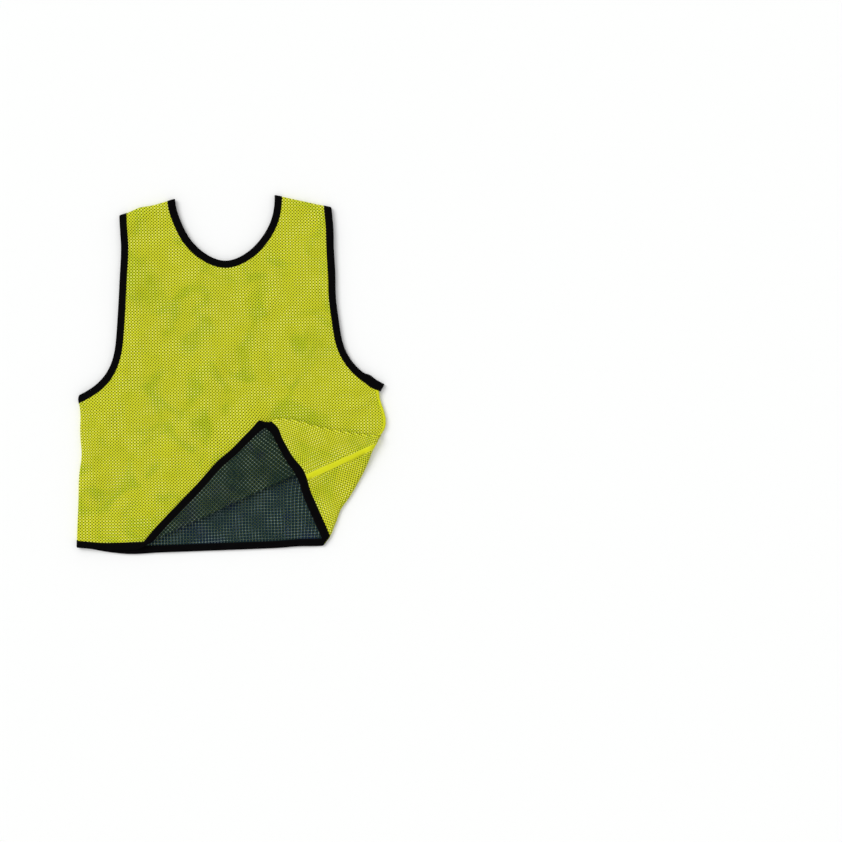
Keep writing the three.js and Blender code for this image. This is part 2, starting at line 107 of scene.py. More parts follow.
def moved(limit, distance):
    return line(limit.point + limit.normal * distance, limit.normal)


def facing_back(limit):
    return line(limit.point, -limit.normal)


def crossing(a, b, limit):
    da = beyond(a, limit)
    db = beyond(b, limit)
    return a.lerp(b, da / (da - db))


def meet(first, second):
    along = at(-first.normal.y, first.normal.x)
    return crossing(first.point, first.point + along, second)


def smooth(low, high, value):
    share = min(max((value - low) / (high - low), 0), 1)
    return share * share * (3 - 2 * share)


def make_fold(x, y, angle, side, radius, middle):
    """A half turn of the cloth about a line: the outermost cloth passes x, y."""
    normal = unit(angle + 90 * side)
    start = line(at(x, y) - normal * (radius + STACK / 2), normal)
    return SimpleNamespace(start=start, radius=radius, middle=middle, length=math.pi * radius)


def turned(p, fold):
    return p + fold.start.normal * (fold.length - 2 * beyond(p, fold.start))


def curl(p, fold):
    """Carries a point of the flat cloth round a fold."""
    depth = beyond(p, fold.start)
    if depth <= 0:
        return p.copy()
    turn = math.pi * min(depth / fold.length, 1)
    reach = fold.radius - (p.z - fold.middle)
    past = max(depth - fold.length, 0)
    place = p + fold.start.normal * (reach * math.sin(turn) - past - depth)
    place.z = fold.middle + fold.radius - reach * math.cos(turn)
    return place


# The front is turned up and back on two lines; the back's corner is folded over on a third
front_middle = FRONT_BASE + STACK / 2
turn_up = make_fold(*TURN_UP_AT, 22.64, -1, FOLD_RADIUS, front_middle)
turn_back = make_fold(281.9, 207.5, -10.06, 1, FOLD_RADIUS, front_middle + 2 * FOLD_RADIUS)
corner = make_fold(230.2, 120.3, 58.7, -1, 3 * FOLD_RADIUS, STACK / 2)
turn_up_edge = line(at(*TURN_UP_AT), turn_up.start.normal)


def edge_line(x1, y1, x2, y2):
    """The line through two points, with the cloth on its left."""
    along = at(x2 - x1, y2 - y1).normalized()
    return line(at(x1, y1), at(along.y, -along.x))


right_side = edge_line(*SIDE_BOTTOM, *SIDE_TOP)
right_tape_end = edge_line(*RIGHT_TAPE_END)
left_side = line(at(-SIDE_BOTTOM[0], SIDE_BOTTOM[1]), at(-right_side.normal.x, right_side.normal.y))
right_shoulder = edge_line(*SHOULDER_TIP, *SHOULDER_AT_NECK)
left_shoulder = line(
    at(-SHOULDER_TIP[0], SHOULDER_TIP[1]), at(-right_shoulder.normal.x, right_shoulder.normal.y)
)

# The side seam crosses the turned corner and goes round its folded edge. Both plies' right edges
# are cut to follow it, each as it comes out flat.
seam_end_flat = at(SEAM_END_X, HEM_RISE * (SEAM_END_X / SIDE_BOTTOM[0]) ** HEM_POWER)
seam_end = turned(seam_end_flat, corner)
seam_along = unit(SEAM_ANGLE)
seam_line = line(seam_end, at(-seam_along.y, seam_along.x))
seam_under = meet(seam_line, moved(corner.start, corner.length))


def front_flat(p):
    """Where a point of the turned top is on the front as it is cut."""
    return turned(turned(p, turn_back), turn_up)


corner_meets_turn_up = meet(corner.start, turn_up.start)
corner_meets_turn_back = meet(corner.start, turn_back.start)
side_curve = [at(*knot) for knot in SIDE_CURVE]
front_seam_end = front_flat(seam_end)
front_right_edge = [
    front_seam_end,
    front_flat(seam_under),
    front_flat(corner_meets_turn_back + corner.start.normal * SEAM_PAST_CORNER),
    turned(corner_meets_turn_back, turn_up),
    turned(corner_meets_turn_up, turn_up),
    *side_curve,
]
back_right_edge = [seam_end_flat, turned(seam_under, corner), *side_curve]


def side_at(y):
    """The line of the right side seam at a height."""
    for a, b in zip(side_curve, side_curve[1:]):
        if y <= b.y:
            break
    return edge_line(*a.xy, *b.xy)


def run_on(points, length=24):
    """Runs an edge on straight past both its ends."""
    first = points[0] + (points[0] - points[1]).normalized() * length
    last = points[-1] + (points[-1] - points[-2]).normalized() * length
    return [first, *points, last]


def neck_edge(steps=56):
    points = []
    for i in range(steps + 1):
        angle = math.pi * i / steps
        across = math.copysign(abs(math.cos(angle)) ** (2 / NECK_POWER), math.cos(angle))
        down = math.sin(angle) ** (2 / NECK_POWER)
        points.append(at(NECK_HALF_WIDTH * across, NECK_TOP_Y - NECK_DEPTH * down))
    return run_on(points)


def armhole_edge(steps=7):
    knots = [at(*ARMHOLE[0]), *(at(*knot) for knot in ARMHOLE), at(*ARMHOLE[-1])]
    points = []
    for a, b, c, d in zip(knots, knots[1:], knots[2:], knots[3:]):
        for i in range(steps):
            t = i / steps
            bend = (c - a) * t + (2 * a - 5 * b + 4 * c - d) * t**2 + (3 * b - a - 3 * c + d) * t**3
            points.append(b + bend / 2)
    points.append(knots[-1])
    return run_on(points)


def hem_edge(is_front, step=7):
    """The hem's edge as it is cut, which rises a little to the sides."""
    start_x = -SIDE_BOTTOM[0]
    end_x = front_seam_end.x if is_front else seam_end_flat.x
    count = round((end_x - start_x) / step)
    points = []
    for i in range(count + 1):
        x = start_x + (end_x - start_x) * i / count
        y = HEM_RISE * abs(x / SIDE_BOTTOM[0]) ** HEM_POWER
        if is_front:
            if x > 0:
                y = (front_seam_end.y - FRONT_LIFT) * (x / end_x) ** 3
            y += FRONT_LIFT * smooth(FRONT_LIFT_FROM, FRONT_LIFT_TO, x)
        points.append(at(x, y))
    return run_on(points)


def mirrored(points):
    return [at(-p.x, p.y) for p in reversed(points)]


def inset(points, distance):
    """The same edge, moved into the cloth."""
    moved_points = []
    for i, p in enumerate(points):
        along = (points[min(i + 1, len(points) - 1)] - points[max(i - 1, 0)]).normalized()
        moved_points.append(p + at(-along.y, along.x) * distance)
    return moved_points


def between(points, start, end):
    """The stretch of an edge between two lines."""
    first = next(i for i, p in enumerate(points) if beyond(p, start) <= 0)
    last = first
    while beyond(points[last + 1], end) <= 0:
        last += 1
    ends = (
        crossing(points[first - 1], points[first], start),
        crossing(points[last], points[last + 1], end),
    )
    middle = [p for p in points[first:last + 1] if min((p - q).length for q in ends) > 0.3]
    return [ends[0], *middle, ends[1]]


neck = neck_edge()
armhole_right = armhole_edge()
armhole_left = mirrored(armhole_right)


EDGE_IN_TAPE = 3.0


def panel_outline(is_front):
    """A ply's outline. Its bound edges lie a little inside the fold of their tape."""
    corners = front_right_edge if is_front else back_right_edge
    lower = edge_line(*corners[0].xy, *corners[1].xy)
    upper = line(corners[-1], right_side.normal)
    return [
        *between(inset(hem_edge(is_front), EDGE_IN_TAPE), left_side, lower),
        *corners[1:-1],
        *between(inset(armhole_right, EDGE_IN_TAPE), upper, right_shoulder),
        *between(inset(neck, EDGE_IN_TAPE), right_shoulder, left_shoulder),
        *between(inset(armhole_left, EDGE_IN_TAPE), left_shoulder, left_side),
    ]


def score(bm, limit, where=None):
    """Cuts the flat cloth's faces along a line."""
    faces = [f for f in bm.faces if where is None or where(f.calc_center_median())]
    edges = {e for f in faces for e in f.edges}
    verts = {v for f in faces for v in f.verts}
    bmesh.ops.bisect_plane(
        bm, geom=[*verts, *edges, *faces], dist=1e-4,
        plane_co=limit.point, plane_no=limit.normal,
    )


def score_folds(bm, is_front, steps=12):
    """Cuts the cloth along the lines that it bends on in its folds."""
    first = turn_up if is_front else corner
    if is_front:
        def on_flap(p):
            return beyond(p, turn_up.start) > turn_up.length
        for i in range(steps + 1):
            limit = moved(turn_back.start, turn_back.length * i / steps)
            flat = turned(limit.point, turn_up)
            normal = turned(limit.point + limit.normal, turn_up) - flat
            score(bm, line(flat, normal), on_flap)

        def on_top(p):
            return on_flap(p) and beyond(turned(p, turn_up), turn_back.start) > 0
        for i in range(steps + 1):
            limit = moved(corner.start, corner.length * i / steps)
            flat = front_flat(limit.point)
            score(bm, line(flat, front_flat(limit.point + limit.normal) - flat), on_top)
    for i in range(steps + 1):
        score(bm, moved(first.start, first.length * i / steps))


NEAR_SIDE = 30


def score_seams(bm, steps=4):
    """Cuts the cloth along the lines that it bends on where it rounds over at its seams."""
    for i in range(1, steps + 1):
        depth = -SEAM_HEIGHT * i / steps
        for seam in (left_side, right_shoulder, left_shoulder):
            score(bm, moved(seam, depth), lambda p: beyond(p, moved(seam, depth)) > -GRID)
        for a, b in zip(side_curve, side_curve[1:]):
            score(
                bm, moved(edge_line(*a.xy, *b.xy), depth),
                lambda p: a.y - GRID < p.y < b.y + GRID and p.x > side_curve[0].x - NEAR_SIDE,
            )


def cut_cloth(outline, is_front):
    """One ply cut out flat, crossed by a grid and by the lines of its folds."""
    bm = bmesh.new()
    bm.faces.new([bm.verts.new(p) for p in outline])
    low_x = min(p.x for p in outline)
    high_x = max(p.x for p in outline)
    low_y = min(p.y for p in outline)
    high_y = max(p.y for p in outline)
    for i in range(1, int((high_x - low_x) / GRID) + 1):
        score(bm, line(at(low_x + i * GRID, 0), at(1, 0)))
    for i in range(1, int((high_y - low_y) / GRID) + 1):
        score(bm, line(at(0, low_y + i * GRID), at(0, 1)))
    score_folds(bm, is_front)
    score_seams(bm)
    bmesh.ops.triangulate(bm, faces=[f for f in bm.faces if len(f.verts) > 4])
    grain = bm.loops.layers.uv.new("grain")
    for f in bm.faces:
        for loop in f.loops:
            loop[grain].uv = loop.vert.co.xy / 1000
    return bm


def roll(p, seam, share):
    """Rounds the cloth over at a side or shoulder seam, where front and back meet."""
    depth = SEAM_HEIGHT + beyond(p, seam)
    if depth <= 0 or share <= 0:
        return p
    angle = math.pi / 2 * min(depth / SEAM_HEIGHT, 1)
    reach = p.z - SEAM_HEIGHT
    place = p + seam.normal * (abs(reach) * math.sin(angle) - depth)
    place.z = SEAM_HEIGHT + reach * math.cos(angle)
    return p.lerp(place, share)


# Soft ridges that the whole bib lies in: from x, y, to x, y, half width and height
FLOOR_RIDGES = [
    (-262, 60, -205, 300, 16, 1.7),
    (-120, 20, -150, 330, 22, 1.5),
    (20, 40, -30, 420, 26, 1.3),
    (130, 250, 150, 560, 20, 1.6),
    (-165, 380, -130, 610, 17, 1.6),
    (-60, 470, 70, 455, 20, 1.2),
    (180, 20, 40, 40, 15, 1.4),
]
# Ridges and, with a negative height, troughs of the front alone
FRONT_RIDGES = [
    (-190, 590, -120, 637, 9, 2.6),
    (-160, 560, -100, 600, 10, -1.6),
    (120, 636, 190, 600, 9, 2.4),
    (-278, 285, -215, 200, 9, 2.9),
    (-262, 290, -190, 235, 10, 2.4),
    (270, 285, 205, 255, 9, 2.6),
    (262, 292, 180, 300, 11, 1.9),
    (-290, 120, -225, 150, 10, 1.9),
    (-292, 60, -200, 110, 12, -1.9),
    (-205, 320, -140, 420, 13, 2.4),
    (-185, 470, -120, 520, 12, 1.9),
    (205, 330, 130, 420, 13, 2.2),
    (185, 480, 115, 520, 12, 1.9),
    (-90, 530, -40, 440, 12, 1.9),
    (90, 520, 60, 430, 12, 1.9),
    (-40, 300, 20, 390, 18, 2.4),
    (-130, 130, -60, 250, 16, 2.6),
    (-225, 40, -190, 110, 11, 1.9),
    (60, 262, 200, 250, 11, 1.8),
    (95, 215, 190, 170, 10, 2.2),
    (120, 190, 200, 130, 9, -1.9),
    (175, 60, 205, 130, 9, 2.1),
    (-60, 60, 20, 140, 13, 2.2),
    (0, 130, 50, 200, 12, 1.9),
]


def ridge_height(p, x1, y1, x2, y2, half_width, height):
    start = at(x1, y1)
    run = at(x2 - x1, y2 - y1)
    reach = at(p.x, p.y) - start
    share = reach.dot(run) / run.length_squared
    bow = 0.12 * run.length * math.sin(math.pi * min(max(share, 0), 1))
    off = abs(reach.dot(at(-run.y, run.x)) / run.length - bow)
    ends = smooth(-0.25, 0.3, share) * (1 - smooth(0.7, 1.25, share))
    return height * ends * math.exp(-((off / half_width) ** 2))


def humps(p, height, across, up, seed):
    """Low uneven humps: their height, their size across and up the bib, and their seed."""
    return height * noise.noise(at(p.x / across, p.y / up, seed))


def relief(p):
    """Lifts a laid point with the soft creases of the cloth. What lies higher moves more."""
    floor_lift = 0.45 + humps(p, 0.45, 70, 90, 4.4)
    floor_lift += sum(ridge_height(p, *ridge) for ridge in FLOOR_RIDGES)
    front_lift = 1.6 + humps(p, 1.3, 62, 75, 9.2) + humps(p, 0.55, 24, 30, 2.6)
    front_lift += sum(ridge_height(p, *ridge) for ridge in FRONT_RIDGES)
    share = smooth(-2, 9, p.z)
    return at(p.x, p.y, p.z + floor_lift + share * max(front_lift, 0))


# The cloth has been pushed about by hand, so its edges are not as regular as they were cut: the
# place of each soft push, how far it moves the cloth across and up, and how wide it is
PUSHES = [
    (38, 222, 5.5, -5.0, 42),
    (-75, 122, 1.9, -1.4, 50),
    (-7, 190, 3.2, -3.2, 30),
    (88, 182, 5.0, 2.2, 40),
    (110, 132, 3.5, 1.5, 30),
    (120, 142, 7.0, 2.6, 26),
    (132, 104, 5.4, 2.6, 32),
    (152, 68, 6.6, 3.0, 32),
    (168, 30, 5.5, 1.0, 28),
    (170, 0, -2.2, 3.6, 9),
    (112, 2, 0, 1.7, 28),
    (202, 56, -5.0, 2.7, 26),
    (184, 28, -3.5, 2.0, 14),
    (280, 200, -3.5, 0.5, 14),
    (268, 178, -5.5, 1.5, 30),
    (226, 392, -6.5, -2.5, 68),
    (205, 462, -3.5, 0, 38),
    (192, 590, 2.0, 0, 30),
    (268, 296, -3.5, -3.0, 22),
    (276, 304, 1.0, 3.0, 11),
    (262, 313, 0.5, 6.5, 11),
    (-285, 290, -2.4, 0, 9),
    (-292, 230, 1.4, 0, 26),
    (-296, 110, 1.6, 0, 50),
    (-292, 187, 5.8, 0, 30),
    (-286, 258, 2.0, 0, 20),
    (-190, 566, 2.4, 0, 38),
    (-89, 606, 2.0, 0, 30),
    (90, 606, 1.0, 0, 30),
    (-8, 538, 0, -1.9, 34),
    (-158.7, 639, -0.5, 3.4, 17),
    (-278, 8, 0, 3.0, 26),
    (-198, 0, 0, -2.4, 34),
]
# The same for what has been turned over alone
TOP_PUSHES = [
    (47, 247, -5.0, -4.0, 12),
    (61, 246, 2.5, -8.0, 11),
    (57, 228, 0, -5.0, 11),
    (74, 226, 6.0, -1.5, 18),
    (150, 226, 0, -4.2, 24),
    (180, 221, 0, -6.0, 24),
    (210, 216, 0, -6.4, 24),
    (240, 211, -1.0, -6.2, 24),
    (268, 206, -2.0, -5.5, 24),
]


def wrap(p):
    """Carries a point of the front's turned top down round the folded edge of the corner."""
    depth = beyond(p, corner.start)
    if depth <= 0:
        return p
    angle = math.pi * min(depth / corner.length, 1)
    axis_height = corner.middle + corner.radius
    reach = p.z - axis_height
    place = p + corner.start.normal * (reach * math.sin(angle) - depth)
    place.z = axis_height + reach * math.cos(angle)
    return place


SINK_DEPTH = 4 * FOLD_RADIUS
SINK_FROM = 4
SINK_TO = 68


def sink(p):
    """How far the turned top comes down where no folded cloth lies under it."""
    axis_height = corner.middle + corner.radius
    share = smooth(-5, 5, p.z - axis_height)
    return SINK_DEPTH * smooth(SINK_FROM, SINK_TO, beyond(p, turn_up_edge)) * share


def push(p, pushes, share):
    """Moves a laid point by the pushes that reach it."""
    place = p.copy()
    for x, y, across, up, width in pushes:
        place += at(across, up) * math.exp(-(math.hypot(p.x - x, p.y - y) / width) ** 2) * share
    return place


# The right side seam is open at the turned corner. Up the bib it closes between these heights.
FRONT_CLOSES = (200.5, 207)
BACK_CLOSES = (204, 216)
# What has been turned over lies above these heights: its own pushes fade in from one to the other
TURNED_LIES_ABOVE = (7.35, 7.95)


def lay(p, is_front, on_tape=False):
    """Carries a point of the flat cut through the seams and folds to where it lies, in metres."""
    p = roll(p, left_side, 1)
    closed = smooth(*(FRONT_CLOSES if is_front else BACK_CLOSES), p.y)
    p = roll(p, right_tape_end if on_tape else side_at(p.y), closed)
    p = roll(p, right_shoulder, 1)
    p = roll(p, left_shoulder, 1)
    if is_front:
        laid = curl(p, turn_up)
        if beyond(p, turn_up.start) > turn_up.length:
            over = smooth(0, turn_back.length, beyond(laid, turn_back.start))
            laid = curl(laid, turn_back)
            laid = laid.lerp(wrap(laid), over)
            laid.z -= sink(laid) * over
    else:
        laid = curl(p, corner)
        if beyond(p, corner.start) > 0:
            laid.z -= sink(laid)
    laid = push(laid, TOP_PUSHES, smooth(*TURNED_LIES_ABOVE, laid.z))
    laid = relief(push(laid, PUSHES, 1))
    return at(laid.x + shift.x, laid.y + shift.y, laid.z) / 1000


# The cloth lies where its CAD solids do
hem_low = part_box("hem_binding")[0]
shift = at(hem_low[0] * 1000 + SIDE_BOTTOM[0], hem_low[1] * 1000)


def finish_piece(name, bm, material, thickness):
    """Makes the object, gives its sheet a thickness to both sides and smooths its shading."""
    bmesh.ops.recalc_face_normals(bm, faces=bm.faces)
    mesh = bpy.data.meshes.new(name)
    bm.to_mesh(mesh)
    bm.free()
    mesh.polygons.foreach_set("use_smooth", [True] * len(mesh.polygons))
    mesh.materials.append(material)
    piece = bpy.data.objects.new(name, mesh)
    bpy.context.collection.objects.link(piece)
    shell = piece.modifiers.new("thickness", "SOLIDIFY")
    shell.thickness = thickness / 1000
    shell.offset = 0
    shell.use_even_offset = False
    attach(piece, "root")
    return piece


def add_nodes(material):
    """A short way to add a node, set its values and link its inputs."""
    tree = material.node_tree

    def add(kind, inputs=(), **settings):
        node = tree.nodes.new(kind)
        for key, value in settings.items():
            setattr(node, key, value)
        for key, value in dict(inputs).items():
            if isinstance(value, bpy.types.NodeSocket):
                tree.links.new(value, node.inputs[key])
            else:
                node.inputs[key].default_value = value
        return node

    return add


HOLE_PITCH_X = 5.92
HOLE_PITCH_Y = 5.53


# Its knot colour is a painted highlight on the knots between the holes, and its rim colour a painted
# shade round each hole.
def sports_mesh(name, yarn, slack_yarn, rim_shade, knot, hole_radius, hole_shift, roughness):
    """Knitted mesh with rows of round holes, offset row by row, along the grain of the cut."""
    material = bpy.data.materials.new(name)
    material.use_nodes = True
    add = add_nodes(material)
    shader = material.node_tree.nodes["Principled BSDF"]
    grain = add("ShaderNodeUVMap", uv_map="grain").outputs["UV"]

    # The knit is never quite even, so its rows wander by a millimetre or two
    wander = add("ShaderNodeTexNoise", noise_dimensions="4D")
    wander.inputs["W"].default_value = hole_shift[0] * 10
    wander.inputs["Scale"].default_value = 9.0
    wander.inputs["Detail"].default_value = 1.0
    material.node_tree.links.new(grain, wander.inputs["Vector"])
    away = add("ShaderNodeVectorMath", {0: wander.outputs["Color"], 1: (0.5, 0.5, 0.5)})
    away.operation = "SUBTRACT"
    drift = add("ShaderNodeVectorMath", {0: away.outputs[0], "Scale": 0.008}, operation="SCALE")
    even = add("ShaderNodeVectorMath", {0: grain, 1: drift.outputs[0]}, operation="ADD")
    rows = add("ShaderNodeVectorMath", {
        0: even.outputs[0], 1: (1000 / HOLE_PITCH_X, 1000 / HOLE_PITCH_Y, 0),
    }, operation="MULTIPLY")

    def distance_to_hole(offset):
        cell = add("ShaderNodeVectorMath", {0: rows.outputs[0], 1: (*offset, 0)}, operation="ADD")
        part = add("ShaderNodeVectorMath", {0: cell.outputs[0]}, operation="FRACTION")
        centred = add("ShaderNodeVectorMath", {0: part.outputs[0], 1: (0.5, 0.5, 0)})
        centred.operation = "SUBTRACT"
        scaled = add("ShaderNodeVectorMath", {
            0: centred.outputs[0], 1: (HOLE_PITCH_X, HOLE_PITCH_Y, 0),
        }, operation="MULTIPLY")
        return add("ShaderNodeVectorMath", {0: scaled.outputs[0]}, operation="LENGTH").outputs["Value"]

    first = distance_to_hole(hole_shift)
    second = distance_to_hole((hole_shift[0] + 0.5, hole_shift[1] + 0.5))
    nearest = add("ShaderNodeMath", {0: first, 1: second}, operation="MINIMUM").outputs[0]
    opening = add("ShaderNodeMapRange", {
        "Value": nearest, "From Min": hole_radius - 0.12, "From Max": hole_radius + 0.12,
    })
    material.node_tree.links.new(opening.outputs[0], shader.inputs["Alpha"])

    # Yarn: fine wales along the grain, and the cloth rises from each hole's rim to the knots
    wales = add("ShaderNodeTexWave", {"Vector": rows.outputs[0], "Scale": 1.27, "Distortion": 0.6})
    wales.inputs["Detail"].default_value = 1.0
    rise = add("ShaderNodeMapRange", {
        "Value": nearest, "From Min": hole_radius, "From Max": 2.7, "To Min": 0.0, "To Max": 1.6,
    }, interpolation_type="SMOOTHSTEP")
    height = add("ShaderNodeMath", {0: rise.outputs[0], 1: wales.outputs["Fac"]}, operation="ADD")
    bump = add("ShaderNodeBump", {"Height": height.outputs[0], "Distance": 0.0004})
    bump.inputs["Strength"].default_value = 0.5
    material.node_tree.links.new(bump.outputs[0], shader.inputs["Normal"])

    # Colour: a painted shade, deep at each hole's rim and between the wales, and a painted highlight,
    # pale on the knots, in patches.
    # Where the cloth hangs a little slack it looks deeper and greener.
    patches = add("ShaderNodeTexNoise", {"Vector": grain, "Scale": 30.0, "Detail": 4.0})
    highlight_strength = add("ShaderNodeMapRange", {
        "Value": patches.outputs["Fac"], "From Min": 0.4, "From Max": 0.62, "To Min": 0.2,
    })
    to_knot = distance_to_hole((hole_shift[0] + 0.5, hole_shift[1]))
    highlight_spot = add("ShaderNodeMapRange", {
        "Value": to_knot, "From Min": 1.45, "From Max": 0.75,
    }, interpolation_type="SMOOTHSTEP")
    painted_highlight = add("ShaderNodeMath", {0: highlight_spot.outputs[0], 1: highlight_strength.outputs[0]}, operation="MULTIPLY")
    lit = add("ShaderNodeMix", {"Factor": painted_highlight.outputs[0]}, data_type="RGBA")
    broad = add("ShaderNodeTexNoise", {"Vector": grain, "Scale": 13.0, "Detail": 3.0})
    broad.inputs["Distortion"].default_value = 1.2
    slack = add("ShaderNodeMapRange", {
        "Value": broad.outputs["Fac"], "From Min": 0.46, "From Max": 0.68,
    }, interpolation_type="SMOOTHSTEP")
    tone = add("ShaderNodeMix", {"Factor": slack.outputs[0]}, data_type="RGBA")
    tone.inputs[6].default_value = (*yarn, 1)
    tone.inputs[7].default_value = (*slack_yarn, 1)
    material.node_tree.links.new(tone.outputs[2], lit.inputs[6])
    lit.inputs[7].default_value = (*knot, 1)
    # Painted shade: darker at each hole's rim and between the wales
    rim_shade_mask = add("ShaderNodeMapRange", {
        "Value": nearest, "From Min": hole_radius, "From Max": hole_radius + 0.85,
        "To Min": 1.0, "To Max": 0.0,
    }, interpolation_type="SMOOTHSTEP")
    wale_shade = add("ShaderNodeMath", {0: wales.outputs["Fac"], 1: 0.25}, operation="MULTIPLY")
    dark = add("ShaderNodeMath", {0: rim_shade_mask.outputs[0], 1: wale_shade.outputs[0]})
    dark.operation = "MAXIMUM"
    shaded = add("ShaderNodeMix", {"Factor": dark.outputs[0]}, data_type="RGBA")
    material.node_tree.links.new(lit.outputs[2], shaded.inputs[6])
    shaded.inputs[7].default_value = (*rim_shade, 1)
    material.node_tree.links.new(shaded.outputs[2], shader.inputs["Base Color"])
    shader.inputs["Roughness"].default_value = roughness
    shader.inputs["Sheen Weight"].default_value = 0.03
    shader.inputs["Sheen Roughness"].default_value = 0.4
    shader.inputs["Specular IOR Level"].default_value = 0.12
    return material


# The knot colour is a painted highlight and the rim colour a painted shade
yellow_mesh = sports_mesh(
    "yellow_mesh", yarn=(0.69, 0.71, 0.014), slack_yarn=(0.52, 0.62, 0.006),
    rim_shade=(0.22, 0.25, 0.001), knot=(1.0, 1.0, 0.24), hole_radius=0.88, hole_shift=(0.0, 0.0),
    roughness=0.55,
)
back_outline = panel_outline(False)
outer_back_cloth = cut_cloth(back_outline, False)


def cloth_area(bm):
    return sum(f.calc_area() for f in bm.faces) / 1e6


outer_back_area = cloth_area(outer_back_cloth)


def lay_cloth(bm, is_front, height):
    for v in bm.verts:
        v.co = lay(at(v.co.x, v.co.y, height), is_front)


OUTER_HEIGHT = 0.7
lay_cloth(outer_back_cloth, False, OUTER_HEIGHT)
outer_back = finish_piece("outer_back_cloth", outer_back_cloth, yellow_mesh, CLOTH)
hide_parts("outer_back")

# Back, inner ply: the same cut in dark green polyester mesh, sewn and bound together with the outer
# ply at every edge. It is the bib's other side, and shows where the front is turned up.
INNER_HEIGHT = 1.8
# The knot colour is a painted highlight and the rim colour a painted shade
green_mesh = sports_mesh(
    "green_mesh", yarn=(0.004, 0.022, 0.022), slack_yarn=(0.003, 0.015, 0.036),
    rim_shade=(0.0008, 0.003, 0.004), knot=(0.26, 0.36, 0.30), hole_radius=0.5, hole_shift=(0.27, 0.21),
    roughness=0.5,
)
inner_back_cloth = cut_cloth(back_outline, False)
inner_area = cloth_area(inner_back_cloth)
lay_cloth(inner_back_cloth, False, INNER_HEIGHT)
inner_back = finish_piece("inner_back_cloth", inner_back_cloth, green_mesh, CLOTH)
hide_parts("inner_back")

# Front, inner ply: dark green mesh again, sewn to the back's inner ply at the shoulders and sides.
# Its lower right corner is turned up, so its green face shows as the left part of the triangle.
front_outline = panel_outline(True)
# The knot colour is a painted highlight and the rim colour a painted shade
front_green_mesh = sports_mesh(
    "green_mesh_front", yarn=(0.004, 0.020, 0.010), slack_yarn=(0.003, 0.010, 0.018),
    rim_shade=(0.0008, 0.003, 0.002), knot=(0.26, 0.34, 0.24), hole_radius=0.5, hole_shift=(0.62, 0.4),
    roughness=0.5,
)
inner_front_cloth = cut_cloth(front_outline, True)
front_area = cloth_area(inner_front_cloth)
lay_cloth(inner_front_cloth, True, FRONT_BASE + STACK - INNER_HEIGHT)
inner_front = finish_piece("inner_front_cloth", inner_front_cloth, front_green_mesh, CLOTH)
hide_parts("inner_front")

# Front, outer ply: yellow mesh, the face of the bib. It is sewn to the back's outer ply along
# the left side and the shoulders, and to the strip along the right side seam.
outer_front_cloth = cut_cloth(front_outline, True)
lay_cloth(outer_front_cloth, True, FRONT_BASE + STACK - OUTER_HEIGHT)
outer_front = finish_piece("outer_front_cloth", outer_front_cloth, yellow_mesh, CLOTH)
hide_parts("outer_front")

# Side strips: bright yellow knitted tape without holes, sewn over the side seams. The right one
# runs down the front's right edge and crosses the turned corner; the left one is on the back.
STRIP_WIDTH = 11
STRIP_SHOWING = 4.5
STRIP_TUCKED = 1.2
STRIP_INSET = 3.0
STRIP_HEIGHT = 0.35
STRIP_THICKNESS = 0.25


